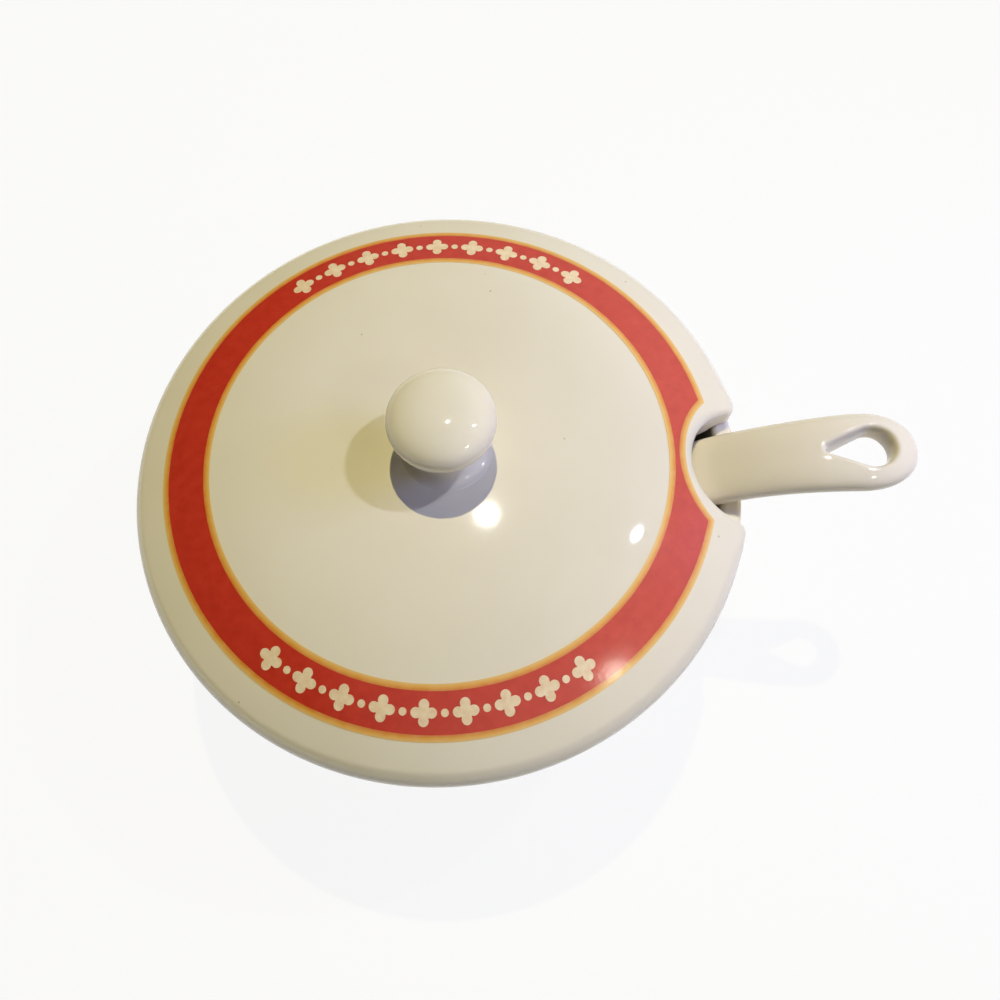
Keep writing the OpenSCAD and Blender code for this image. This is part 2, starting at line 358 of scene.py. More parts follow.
# Lid
KNOB_PAD_R = NECK_FOOT_R + KNOB_X
FLANGE_R = rim_inner_r() - FLANGE_GAP
CROWN_C = np.array([0, CROWN_Z - leg(CROWN_R, KNOB_PAD_R)])
CROWN_OUT = np.array([CROWN_D / 2 / CROWN_R, leg(1, CROWN_D / 2 / CROWN_R)])
CROWN_END = CROWN_C + CROWN_R * CROWN_OUT
SHOULDER_CHORD = np.array([LID_R, SEAT_Z + EDGE_H]) - CROWN_END
SHOULDER_R = -(SHOULDER_CHORD @ SHOULDER_CHORD) / (2 * SHOULDER_CHORD @ CROWN_OUT)
SHOULDER_C = CROWN_END - SHOULDER_R * CROWN_OUT
EDGE_LOW = np.array([LID_R, SEAT_Z + EDGE_FOOT]) - SHOULDER_C
EDGE_R = (SHOULDER_R ** 2 - EDGE_LOW @ EDGE_LOW) / (2 * (SHOULDER_R - EDGE_LOW[0]))
EDGE_WIDTH = EDGE_R * (1 - (EDGE_LOW[0] - EDGE_R) / (SHOULDER_R - EDGE_R))


def arc_dome(r, inset):
    """Height of the lid's crown and shoulder at a distance from the axis, less a wall's thickness."""
    crown = CROWN_C[1] + leg(CROWN_R - inset, r)
    shoulder = SHOULDER_C[1] + leg(SHOULDER_R - inset, r - SHOULDER_C[0])
    return np.where(r < CROWN_OUT[0] * (CROWN_R - inset), crown, shoulder)


def dome(r, inset=0):
    """The lid's height with the change from crown to shoulder softened."""
    spread = np.linspace(-DOME_SOFTENING, DOME_SOFTENING, DOME_SAMPLES)
    return np.mean([arc_dome(np.abs(np.asarray(r) + s), inset) for s in spread], axis=0)


class LidOutline:
    """Plan of the lid's edge, from the middle of the notch all the way round.

    At each point: the direction into the clay, the share of the notch, which fades out along the rim,
    the angle on the rim and the evenly spread angle on the rings inside.
    """

    def __init__(self):
        corner_x = ((LID_R - NOTCH_CORNER) ** 2 + LID_R ** 2 - (NOTCH_R + NOTCH_CORNER) ** 2) / (2 * LID_R)
        corner = np.array([corner_x, leg(LID_R - NOTCH_CORNER, corner_x)])
        notch_c = np.array([LID_R, 0])
        meet = angle_of(corner - notch_c)
        leave = angle_of(corner)
        notch = np.linspace(180, meet, NOTCH_STEPS, endpoint=False)
        turn = np.linspace(meet - 180, leave, CORNER_STEPS, endpoint=False)
        rim = np.linspace(leave, 180, RIM_STEPS)
        before_rim = NOTCH_STEPS + CORNER_STEPS
        points = np.vstack([
            notch_c + NOTCH_R * units(notch),
            corner + NOTCH_CORNER * units(turn),
            LID_R * units(rim),
        ])
        inward = np.vstack([units(notch), -units(turn), -units(rim)])
        self.points = np.vstack([points, self.back(points) * [1, -1]])
        self.inward = np.vstack([inward, self.back(inward) * [1, -1]])
        share = 1 - ease((np.arange(len(points)) - before_rim) / NOTCH_FADE)
        self.notch = np.concatenate([share, self.back(share)])
        self.angles = self.both_sides(np.full(before_rim, leave), rim)
        spread = np.linspace(0, CORNER_SPREAD, before_rim, endpoint=False)
        self.inner_angles = self.both_sides(spread, np.linspace(CORNER_SPREAD, 180, RIM_STEPS))

    @staticmethod
    def back(values):
        """The values of one half on the way back, without those that both halves share."""
        return values[-2:0:-1]

    def both_sides(self, before_rim, rim):
        """Angles in radians round the whole lid, from those of one half in degrees."""
        angles = np.radians(np.concatenate([before_rim, rim]))
        return np.concatenate([angles, 2 * np.pi - self.back(angles)])

    def inside(self, distance):
        """Plan of the edge moved into the clay."""
        return self.points + self.inward * distance[:, None]


def under_z(r):
    """Height of the lid's underside without the flange: the seat, then the hollow."""
    hollow = dome(np.minimum(r, FLANGE_R), LID_WALL)
    return hollow + (SEAT_Z - hollow) * ease((r - FLANGE_R + FLANGE_W) / FLANGE_W)


def flange_profile():
    """Profile of the lid's underside from the seat, round the flange, to the axis."""
    hollow_r = FLANGE_R - FLANGE_W
    fillet_r = SHOULDER_R - LID_WALL - FLANGE_FILLET
    fillet_c = np.array([hollow_r - FLANGE_FILLET, 0.0])
    fillet_c[1] = SHOULDER_C[1] + leg(fillet_r, fillet_c[0] - SHOULDER_C[0])
    turn = angle_of(fillet_c - SHOULDER_C)
    low = FLANGE_LOW + FLANGE_ROUND
    corner = np.array([FLANGE_R, SEAT_Z])
    hollow_start = fillet_c[0] + FLANGE_FILLET * unit(turn)[0]
    hollow_radii = np.linspace(hollow_start, HOLLOW_END_R, HOLLOW_POINTS)[1:]
    return np.array([
        *soft_corner(corner + [SEAT_SOFTENING, 0], corner, corner - [0, SEAT_SOFTENING], SEAT_STEPS),
        *arc([FLANGE_R - FLANGE_ROUND, low], FLANGE_ROUND, 0, -90, SMALL_ROUND_STEPS),
        *arc([hollow_r + FLANGE_ROUND, low], FLANGE_ROUND, 270, 180, SMALL_ROUND_STEPS),
        *arc(fillet_c, FLANGE_FILLET, 0, turn, ROUND_STEPS),
        *[np.array([r, dome(r, LID_WALL)]) for r in hollow_radii],
    ])


def plan_ring(plan, z):
    return np.column_stack([plan, np.broadcast_to(z, len(plan))])


def polar(r, angles):
    return np.column_stack([r * np.cos(angles), r * np.sin(angles)])


def lid_top_rings(outline):
    """Rings over the lid's top, from the knob to the widest place of its edge."""
    width = EDGE_WIDTH + (NOTCH_LIP - EDGE_WIDTH) * outline.notch
    inner = polar(ROUND_R, outline.inner_angles)
    radii = np.linspace(CROWN_START_R, ROUND_R, CROWN_RINGS)
    rings = [plan_ring(polar(r, outline.inner_angles), dome(r)) for r in radii]
    for t in np.linspace(0, 1, SHOULDER_RINGS)[1:-1]:
        plan = (1 - t) * inner + t * outline.inside(width)
        rings.append(plan_ring(plan, dome(np.hypot(*plan.T))))
    for out in np.sin(np.linspace(0, np.pi / 2, EDGE_RINGS)):
        depth = width * (1 - out)
        plan = outline.inside(depth)
        top = dome(np.hypot(*plan.T))
        rim = np.minimum(top, SEAT_Z + EDGE_FOOT + leg(EDGE_R, EDGE_R - depth))
        lip = top - NOTCH_LIP * (1 - leg(1, 1 - np.minimum(depth / NOTCH_LIP, 1)))
        rings.append(plan_ring(plan, rim + (lip - rim) * outline.notch))
    return rings


def lid_under_rings(outline):
    """Rings from the foot of the lid's edge, along the seat and the flange, to the middle of the hollow."""
    foot = EDGE_FOOT + (NOTCH_FOOT - EDGE_FOOT) * outline.notch
    low = under_z(np.hypot(*outline.points.T))
    rings = []
    for out, up in units(np.linspace(0, 90, FOOT_RINGS)):
        rings.append(plan_ring(outline.inside(foot * (1 - out)), low + foot * (1 - up)))
    seat = outline.inside(foot)
    flange = flange_profile()
    length = np.cumsum(np.hypot(*np.diff(flange, axis=0, prepend=flange[:1]).T)) + SEAT_RUN
    share = np.minimum(length / length[flange[:, 0] > ROUND_R].max(), 1)
    kept = 1 - outline.notch
    fillet_run = FLANGE_R - FLANGE_W - FLANGE_FILLET - ROUND_R
    for (r, z), s in zip(flange, share):
        plain = (1 - s) * seat + s * polar(min(r, ROUND_R), outline.inner_angles)
        plain_z = under_z(np.hypot(*plain.T))
        turn = np.clip((r - ROUND_R) / fillet_run, 0, 1)
        round_plan = polar(r, outline.inner_angles + (outline.angles - outline.inner_angles) * turn)
        plan = plain + (round_plan - plain) * kept[:, None]
        rings.append(plan_ring(plan, plain_z + (z - plain_z) * kept))
    return rings


def knob_profile():
    """Profile of the knob: its foot on the lid, the flared neck and the ball with its flattened top."""
    widest = [0, KNOB_TOP - CAP_H]
    neck_meet = math.degrees(math.acos(NECK_R / BALL_R))
    under = units(np.linspace(-neck_meet, 0, BALL_POINTS)) * [BALL_R, BALL_H - CAP_H] + widest
    cap = units(np.linspace(0, CAP_END, CAP_POINTS)[1:]) ** (2 / CAP_POWER) * [BALL_R, CAP_H] + widest
    return [
        np.array([AXIS_R, CROWN_Z - KNOB_SUNK]),
        np.array([NECK_FOOT_R, CROWN_Z - KNOB_SUNK]),
        *arc([NECK_FOOT_R, CROWN_Z + NECK_FLARE], NECK_FLARE, 270, 180, FLARE_STEPS),
        *np.linspace([NECK_R, CROWN_Z + NECK_FLARE], under[0], NECK_POINTS)[1:-1],
        *under,
        *cap,
    ]


# Spoon
def bend(p, p_slope, q, q_slope, t):
    """Points on a smooth curve between two places with a slope at each."""
    pull = np.linalg.norm(q - p)
    t = np.asarray(t)[:, None]
    return ((2 * t ** 3 - 3 * t ** 2 + 1) * p + (t ** 3 - 2 * t ** 2 + t) * pull * unit(p_slope)
            + (3 * t ** 2 - 2 * t ** 3) * q + (t ** 3 - t ** 2) * pull * unit(q_slope))


def end_of_node(node, side):
    """Middle of the end of a CAD node along X, as x and z."""
    co = np.array([v.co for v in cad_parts[node].data.vertices]) / MM
    reach = side * co[:, 0]
    tip = co[reach > reach.max() - END_DEPTH]
    return np.array([side * reach.max(), (tip[:, 2].min() + tip[:, 2].max()) / 2])


class SpoonLine:
    """The spoon's middle line, with places and slopes along it."""

    def __init__(self):
        tip = end_of_node("spoon", -1)
        end = end_of_node("spoon", 1)
        lift = (HANDLE_T / 2 + REST_GAP + RIM_ROUND) / unit(REST_SLOPE)[0]
        rest = np.array([rim_inner_r() + RIM_ROUND, BOWL_H - RIM_ROUND + lift])
        steps = np.linspace(0, 1, LINE_POINTS)
        scoop = bend(tip, TIP_SLOPE, rest, REST_SLOPE, steps)
        handle = bend(rest, REST_SLOPE, end, END_SLOPE, steps)
        self.points = np.vstack([scoop, handle[1:]])
        runs = np.diff(self.points, axis=0)
        self.along = np.concatenate([[0], np.cumsum(np.hypot(*runs.T))])
        self.slopes = np.unwrap(np.arctan2(*np.gradient(self.points, axis=0).T[::-1]))
        self.length = self.along[-1]
        self.rest = self.along[len(scoop) - 1]

    def at(self, d, across, lift):
        """Places at a distance along the line, to one side of it and above it."""
        x, z = (np.interp(d, self.along, self.points[:, i]) for i in (0, 1))
        slope = np.interp(d, self.along, self.slopes)
        return np.stack([x - lift * np.sin(slope), across, z + lift * np.cos(slope)], -1)


def end_fill(d, r):
    """How full a rounded end is, at a distance from it."""
    return leg(1, 1 - np.clip(d / r, 0, 1))


def spoon_half_width(line, d):
    """Half the spoon's width: the scoop, drawn in to its neck, then the handle, widening to its end."""
    scoop = SCOOP_W / 2
    neck = (SPOON_NECK_W - SCOOP_W) / 2 * ease((d / SCOOP_L - 0.5) * 2)
    handle = (HANDLE_W - SPOON_NECK_W) / 2 * ease((d - SCOOP_L) / (line.rest - SCOOP_L))
    end = (HANDLE_END_W - HANDLE_W) / 2 * ease((d - line.rest) / (line.length - line.rest))
    return (scoop + neck + handle + end) * end_fill(d, SCOOP_L / 2)


def spoon_half_thick(line, d):
    growth = ease((d - SCOOP_L / 2) / (line.rest - SCOOP_L))
    return (SCOOP_T + (HANDLE_T - SCOOP_T) * growth) / 2 * end_fill(d, SCOOP_T / 2)


def scoop_hollow(d):
    return np.where(d < SCOOP_L, SCOOP_DEPTH * np.sin(np.pi * np.clip(d / SCOOP_L, 0, 1)), 0)


def fullness(reach):
    """Height of the spoon's section, at a share of the way from its middle to its edge."""
    return np.maximum(1 - np.minimum(reach, 1) ** SECTION_POWER, 0) ** (1 / SECTION_POWER)


def section_shares():
    """Shares across the spoon from one edge to the other, closer together near the edges."""
    c = np.cos(np.linspace(0, np.pi, SECTION_STEPS + 1))
    return np.sign(c) * np.abs(c) ** (2 / SECTION_POWER)


def spoon_body(line, patch_start):
    """Points and faces of the spoon from the scoop's tip to just before the handle's eye."""
    t = np.linspace(0, 1, BODY_RINGS)
    stations = patch_start * (t - RING_CROWDING * np.sin(2 * np.pi * t))
    shares = section_shares()
    rings = []
    for d in stations[1:]:
        across = spoon_half_width(line, d) * shares
        thick = spoon_half_thick(line, d) * fullness(np.abs(shares))
        trough = -scoop_hollow(d) * (1 - shares ** 2)
        top = line.at(d, across, trough + thick)
        low = line.at(d, across, trough - thick)
        rings.append(np.vstack([top, low[-2:0:-1]]))
    rings = np.asarray(rings)
    rows, columns = rings.shape[:2]
    points = np.vstack([rings.reshape(-1, 3), line.at(0.0, np.array(0.0), np.array(0.0))])
    faces = grid_faces(rows, columns)
    faces += [(rows * columns, (k + 1) % columns, k) for k in range(columns)]
    return points, faces


def eye_outline(count):
    """The eye's outline at its waist about the middle of its round end, from its point, evenly spaced."""
    gap = EYE_L - EYE_R - EYE_POINT_R
    turn = math.degrees(math.acos((EYE_POINT_R - EYE_R) / gap))
    half = np.array([
        *arc([-gap, 0], EYE_POINT_R, 180, turn, EYE_POINT_STEPS),
        *arc([0, 0], EYE_R, turn, 0, EYE_STEPS),
    ])
    outline = np.vstack([half, half[-2::-1] * [1, -1]])
    length = np.concatenate([[0], np.cumsum(np.hypot(*np.diff(outline, axis=0).T))])
    even = np.linspace(0, length[-1], count, endpoint=False)
    return np.column_stack([np.interp(even, length, outline[:, i]) for i in (0, 1)])


def spoon_eye_patch(line, patch_start):
    """Points and faces of the handle's end: a top and an underside that meet at its edge and at the eye."""
    end_start = line.length - HANDLE_END_L
    side_d = np.linspace(patch_start, end_start, SIDE_POINTS, endpoint=False)
    sweep = units(np.linspace(0, 90, END_POINTS)) ** (2 / HANDLE_END_POWER)
    cap_d = end_start + HANDLE_END_L * sweep[:, 1]
    start_across = spoon_half_width(line, patch_start) * section_shares()[SECTION_STEPS // 2:]
    half = np.vstack([
        np.column_stack([np.full(len(start_across), patch_start), start_across]),
        np.column_stack([side_d, -spoon_half_width(line, side_d)])[1:],
        np.column_stack([cap_d, -spoon_half_width(line, cap_d) * sweep[:, 0]]),
    ])
    rim = np.vstack([half, half[-2:0:-1] * [1, -1]])
    eye = [line.length - EYE_END - EYE_R, 0] + eye_outline(len(rim)) * [1, -1]
    shares_out = (1 - np.cos(np.linspace(0, np.pi, PATCH_RINGS))) / 2
    plan = eye[None] + shares_out[:, None, None] * (rim - eye)[None]
    return patch_skins(line, plan[..., 0], plan[..., 1], eye)


def end_reach(line, d, across):
    """Share of the way from the handle's middle to its edge, round its end too."""
    side = np.abs(across) / spoon_half_width(line, d)
    end = np.clip(d - line.length + HANDLE_END_L, 0, None) / HANDLE_END_L
    return (side ** HANDLE_END_POWER + end ** HANDLE_END_POWER) ** (1 / HANDLE_END_POWER)


def patch_skins(line, d, across, eye):
    """Lifts the plan of the handle's end to its top and underside."""
    outline = np.vstack([eye, eye[:1]])
    samples = np.linspace(outline[:-1], outline[1:], EYE_SAMPLES, axis=1).reshape(-1, 2)
    away = np.min(np.hypot(d[..., None] - samples[:, 0], across[..., None] - samples[:, 1]), axis=-1)
    wall = (1 - (1 - np.clip(away / EYE_ROUND, 0, 1)) ** EYE_POWER) ** (1 / EYE_POWER)
    thick = spoon_half_thick(line, d) * fullness(end_reach(line, d, across)) * wall
    thick[0] = 0
    rows, columns = d.shape
    top = line.at(d, across, thick).reshape(-1, 3)
    low = line.at(d, across, -thick).reshape(-1, 3)
    faces = grid_faces(rows, columns)
    offset = rows * columns
    faces += [tuple(offset + v for v in face) for face in faces]
    return np.vstack([top, low]), faces


def spoon_mesh():
    line = SpoonLine()
    patch_start = line.length - EYE_END - EYE_L - PATCH_MARGIN
    return joined([spoon_body(line, patch_start), spoon_eye_patch(line, patch_start)])


# Print
def notch_reach(angle, radius):
    """Distance from the lid's axis to the circle round the notch, past which no print lies."""
    side = NOTCH_LINE_X * math.sin(angle)
    if abs(side) >= radius or math.cos(angle) < 0:
        return math.inf
    return NOTCH_LINE_X * math.cos(angle) - leg(radius, side)


def corner_angle(ring_r, radius):
    """Angle at which a ring meets the circle round the notch."""
    return math.acos((ring_r ** 2 + NOTCH_LINE_X ** 2 - radius ** 2) / (2 * ring_r * NOTCH_LINE_X))


def film_ring(inner, outer, lift, angles):
    """A ring of print between two edges, each a function of the angle, and its points' shares across."""
    across = np.linspace(0, 1, FILM_POINTS)
    share = np.concatenate([across, across[::-1]])
    loops = []
    for a in angles:
        r = inner(a) + (outer(a) - inner(a)) * share
        height = dome(r) + np.repeat([lift, -PRINT_SUNK], len(across))
        loops.append(np.column_stack([r * math.cos(a), r * math.sin(a), height]))
    loops = np.asarray(loops)
    shape = loops.reshape(-1, 3), grid_faces(*loops.shape[:2], wrap_rows=True)
    return shape, np.tile(share, len(angles))


def print_angles():
    """Angles round the print, with the corners at the notch among them."""
    corners = [corner_angle(RED_OUT, NOTCH_LINE_R + LINE_W), corner_angle(RED_OUT + LINE_W, NOTCH_LINE_R)]
    even = np.linspace(-np.pi, np.pi, FILM_STEPS, endpoint=False)
    return np.sort(np.concatenate([even, corners, np.negative(corners)]))


def red_edge(angle):
    return min(RED_OUT, notch_reach(angle, NOTCH_LINE_R + LINE_W))


def line_edge(angle):
    return min(RED_OUT + LINE_W, notch_reach(angle, NOTCH_LINE_R))


def add_print(materials):
    angles = print_angles()
    red, _ = film_ring(lambda a: RED_IN, red_edge, RED_LIFT, angles)
    new_piece("red_print", red, materials["red"], "lid", "red_band", PRINT_CREASE)
    inner, redward = film_ring(lambda a: RED_IN - LINE_W, lambda a: RED_IN + GOLD_LAP, GOLD_LIFT, angles)
    add_gold_line("inner_gold_line", inner, materials, "inner_line", redward)
    outer, glazeward = film_ring(lambda a: red_edge(a) - GOLD_LAP, line_edge, GOLD_LIFT, angles)
    add_gold_line("outer_gold_line", outer, materials, "outer_line", 1 - glazeward)
    for name, middle in BORDER_MIDDLES.items():
        new_piece(name, border_row(middle), materials["cream"], "lid", crease=PRINT_CREASE)


def add_gold_line(name, shape, materials, node, redward):
    new_piece(name, shape, materials["gold"], "lid", node, PRINT_CREASE, redward)


def film_patch(angle, outline):
    """A small patch of print on the red band, from its outline along and across the band."""
    layers = [(share, -PRINT_SUNK) for share in FILM_SHARES]
    layers += [(share, CREAM_LIFT) for share in reversed(FILM_SHARES)]
    rings = []
    for share, lift in layers:
        along, out = share * outline.T
        r = (RED_IN + RED_OUT) / 2 + out
        turn = angle + along / r
        rings.append(plan_ring(polar(r, turn), dome(r) + lift))
    return skin(rings)


def floret_outline():
    """Four round petals."""
    turns = np.arange(0, 360, PETAL_STEP)
    reach = PETAL_ROOT + PETAL_RISE * np.abs(np.cos(np.radians(2 * turns))) ** PETAL_POWER
    return FLORET_R * reach[:, None] * units(turns)


def border_row(middle):
    """A row of florets along the red band, with a dot between each two."""
    dot = DOT_R * units(np.arange(0, 360, DOT_STEP))
    shapes = []
    for i in range(FLORETS):
        angle = math.radians(middle + (i - (FLORETS - 1) / 2) * FLORET_STEP)
        shapes.append(film_patch(angle, floret_outline()))
        if i:
            shapes.append(film_patch(angle - math.radians(FLORET_STEP / 2), dot))
    return joined(shapes)


# Materials
def linear(r, g, b):
    """A colour given in the usual 0 to 255 steps, as Blender's shaders take it."""
    steps = np.array([r, g, b]) / 255
    values = np.where(steps <= 0.04045, steps / 12.92, ((steps + 0.055) / 1.055) ** 2.4)
    return (*map(float, values), 1.0)


class Nodes:
    """Short calls for building the nodes of a material or of the world."""

    def __init__(self, owner, shader="Principled BSDF"):
        self.owner = owner
        owner.use_nodes = True
        self.tree = owner.node_tree
        self.shader = self.tree.nodes[shader]
        self.coords = self.add("ShaderNodeTexCoord").outputs["Object"]

    def add(self, kind, **values):
        node = self.tree.nodes.new(kind)
        for key, value in values.items():
            setattr(node, key, value)
        return node

    def link(self, source, target):
        self.tree.links.new(source, target)

    def noise(self, scale, detail=2.0, roughness=0.5):
        node = self.add("ShaderNodeTexNoise")
        node.inputs["Scale"].default_value = scale
        node.inputs["Detail"].default_value = detail
        node.inputs["Roughness"].default_value = roughness
        self.link(self.coords, node.inputs["Vector"])
        return node.outputs["Fac"]

    def ramp(self, source, stops):
        node = self.add("ShaderNodeValToRGB")
        elements = node.color_ramp.elements
        while len(elements) < len(stops):
            elements.new(0.5)
        for element, (place, colour) in zip(elements, stops):
            element.position = place
            element.color = colour
        self.link(source, node.inputs["Fac"])
        return node.outputs["Color"]

    def range(self, source, low, high, to_low=0.0, to_high=1.0):
        node = self.add("ShaderNodeMapRange")
        for key, value in (("From Min", low), ("From Max", high), ("To Min", to_low), ("To Max", to_high)):
            node.inputs[key].default_value = value
        self.link(source, node.inputs["Value"])
        return node.outputs["Result"]

    def math(self, operation, first, second):
        node = self.add("ShaderNodeMath", operation=operation)
        for socket, value in zip(node.inputs, (first, second)):
            if isinstance(value, (int, float)):
                socket.default_value = value
            else:
                self.link(value, socket)
        return node.outputs["Value"]

    def mix(self, share, first, second):
        node = self.add("ShaderNodeMix", data_type="RGBA")
        sockets = {s.identifier: s for s in node.inputs}
        for key, value in (("Factor_Float", share), ("A_Color", first), ("B_Color", second)):
            if isinstance(value, (int, float, tuple)):
                sockets[key].default_value = value
            else:
                self.link(value, sockets[key])
        return next(s for s in node.outputs if s.identifier == "Result_Color")

    def mix_shader(self, share, first, second):
        node = self.add("ShaderNodeMixShader")
        for socket, source in zip(node.inputs, (share, first, second)):
            self.link(source, socket)
        return node.outputs["Shader"]

    def bump(self, height, distance):
        node = self.add("ShaderNodeBump")
        node.inputs["Strength"].default_value = 1.0
        node.inputs["Distance"].default_value = distance
        self.link(height, node.inputs["Height"])
        self.link(node.outputs["Normal"], self.shader.inputs["Normal"])

    def blend_into(self, socket, share, value):
        """Mixes a value or colour into what a shader socket already holds."""
        linked = socket.links[0].from_socket if socket.is_linked else None
        if socket.type == "RGBA":
            mixed = self.mix(share, linked or tuple(socket.default_value), value)
        else:
            held = linked or socket.default_value
            kept = self.math("MULTIPLY", held, self.math("SUBTRACT", 1.0, share))
            mixed = self.math("ADD", kept, self.math("MULTIPLY", share, value))
        self.link(mixed, socket)

    def set(self, **values):
        for key, value in values.items():
            self.shader.inputs[key.replace("_", " ")].default_value = value


SPECK_CHOICE = (0.72, 0.74)


def specks(nodes, scale, size):
    """Share of a sparse scatter of small round specks."""
    cells = nodes.add("ShaderNodeTexVoronoi")
    cells.inputs["Scale"].default_value = scale
    nodes.link(nodes.coords, cells.inputs["Vector"])
    dots = nodes.range(cells.outputs["Distance"], low=size, high=size * 0.5)
    chosen = nodes.add("ShaderNodeSeparateColor")
    nodes.link(cells.outputs["Color"], chosen.inputs["Color"])
    return nodes.math("MULTIPLY", dots, nodes.range(chosen.outputs["Red"], *SPECK_CHOICE))


GLAZE_PALE = linear(229, 223, 208)
GLAZE_DEEP = linear(223, 216, 199)
SPOON_PALE = linear(227, 220, 203)
SPOON_DEEP = linear(221, 212, 192)
PIN_HOLE = linear(150, 132, 96)
PIN_HOLE_SHARE = 0.55
CLAY_DEEP = linear(196, 172, 140)
CLAY_PALE = linear(216, 196, 166)
CLAY_ROUGHNESS = 0.85
CLAY_TOP = 0.9
CLAY_FULL = 0.5
GLASS_IOR = 1.5
GLAZE_PEEL = 0.012
PRINT_GRAIN = 0.02


def glaze_finish(nodes):
    """Gloss and the faint unevenness of a fired glaze."""
    nodes.bump(nodes.noise(scale=160), GLAZE_PEEL * MM)
    gloss = nodes.range(nodes.noise(scale=60, detail=3), low=0.3, high=0.7, to_low=0.028, to_high=0.045)
    nodes.link(gloss, nodes.shader.inputs["Roughness"])
    nodes.set(IOR=GLASS_IOR)


def print_finish(nodes):
    """The duller, finely grained face of a fired-on print."""
    nodes.bump(nodes.noise(scale=1400), PRINT_GRAIN * MM)
    gloss = nodes.range(nodes.noise(scale=90), low=0.2, high=0.8, to_low=0.13, to_high=0.19)
    nodes.link(gloss, nodes.shader.inputs["Roughness"])
    nodes.set(IOR=GLASS_IOR)


def glaze(name, pale, deep):
    """Cream glaze with soft clouds, faint pin holes and a slight unevenness."""
    nodes = Nodes(bpy.data.materials.new(name))
    clouds = nodes.ramp(nodes.noise(scale=22, detail=3, roughness=0.55), [(0.3, deep), (0.7, pale)])
    pin_holes = nodes.math("MULTIPLY", specks(nodes, scale=190, size=0.06), PIN_HOLE_SHARE)
    spotted = nodes.mix(pin_holes, clouds, PIN_HOLE)
    nodes.link(spotted, nodes.shader.inputs["Base Color"])
    glaze_finish(nodes)
    return nodes


def bowl_glaze():
    """The bowl's glaze, with the standing face of the foot ring left as bare clay."""
    nodes = glaze("bowl_glaze", GLAZE_PALE, GLAZE_DEEP)
    height = nodes.add("ShaderNodeSeparateXYZ")
    nodes.link(nodes.coords, height.inputs["Vector"])
    bare = nodes.range(height.outputs["Z"], low=CLAY_TOP * MM, high=CLAY_FULL * MM)
    clay = nodes.ramp(nodes.noise(scale=900, detail=4), [(0.3, CLAY_DEEP), (0.7, CLAY_PALE)])
    for socket, value in (("Base Color", clay), ("Roughness", CLAY_ROUGHNESS)):
        nodes.blend_into(nodes.shader.inputs[socket], bare, value)
    return nodes.owner


def red_colour():
    """Fired-on red, slightly mottled."""
    nodes = Nodes(bpy.data.materials.new("red_print"))
    deep = linear(187, 50, 34)
    pale = linear(201, 61, 43)
    mottle = nodes.ramp(nodes.noise(scale=420, detail=3, roughness=0.6), [(0.25, deep), (0.75, pale)])
    nodes.link(mottle, nodes.shader.inputs["Base Color"])
    print_finish(nodes)
    return nodes.owner


def gold_colour():
    """Fired-on gold, more orange where it laps the red."""
    nodes = Nodes(bpy.data.materials.new("gold_print"))
    tone = nodes.add("ShaderNodeAttribute", attribute_name="tone").outputs["Fac"]
    glazeward = linear(226, 186, 112)
    middle = linear(222, 162, 68)
    redward = linear(206, 116, 46)
    thin = linear(232, 198, 130)
    across = nodes.ramp(tone, [(0.1, glazeward), (0.5, middle), (1, redward)])
    wear = nodes.range(nodes.noise(scale=500, detail=3), low=0.35, high=0.75, to_high=0.25)
    nodes.link(nodes.mix(wear, across, thin), nodes.shader.inputs["Base Color"])
    print_finish(nodes)
    return nodes.owner


def cream_colour():
    """Fired-on cream, which lets a little of the red through."""
    nodes = Nodes(bpy.data.materials.new("cream_print"))
    reddened = linear(228, 200, 164)
    full = linear(238, 220, 188)
    tint = nodes.ramp(nodes.noise(scale=700, detail=3), [(0.3, reddened), (0.65, full)])
    nodes.link(tint, nodes.shader.inputs["Base Color"])
    print_finish(nodes)
    return nodes.owner


def make_materials():
    return {
        "bowl": bowl_glaze(),
        "lid": glaze("lid_glaze", GLAZE_PALE, GLAZE_DEEP).owner,
        "spoon": glaze("spoon_glaze", SPOON_PALE, SPOON_DEEP).owner,
        "red": red_colour(),
        "gold": gold_colour(),
        "cream": cream_colour(),
    }


# Pieces
def add_pieces(materials):
    outline = LidOutline()
    lid = skin(lid_top_rings(outline) + lid_under_rings(outline))
    knob = turned(knob_profile(), KNOB_COLUMNS, KNOB_X)
    bowl = turned(bowl_profile(), BOWL_COLUMNS)
    new_piece("lid_shell", lid, materials["lid"], "lid", "lid")
    new_piece("knob_ball", knob, materials["lid"], "lid", "knob")
    new_piece("bowl_shell", bowl, materials["bowl"], "bowl", "bowl")
    new_piece("spoon_body", spoon_mesh(), materials["spoon"], "spoon", "spoon")
    add_print(materials)


# Stage
FLOOR_R = 3000
FLOOR_COLOUR = (0.8, 0.8, 0.8, 1.0)
FLOOR_ROUGHNESS = 0.9
FLOOR_WHITENESS = 0.9
WHITE = (1.0, 1.0, 1.0, 1.0)


def add_floor():
    """A pale floor that the camera sees as white, with the object's shadow kept."""
    mesh = bpy.data.meshes.new("floor")
    reach = FLOOR_R * MM
    corners = [(-reach, -reach, 0), (reach, -reach, 0), (reach, reach, 0), (-reach, reach, 0)]
    mesh.from_pydata(corners, [], [(0, 1, 2, 3)])
    floor = bpy.data.objects.new("floor", mesh)
    bpy.context.scene.collection.objects.link(floor)
    mesh.materials.append(floor_material())


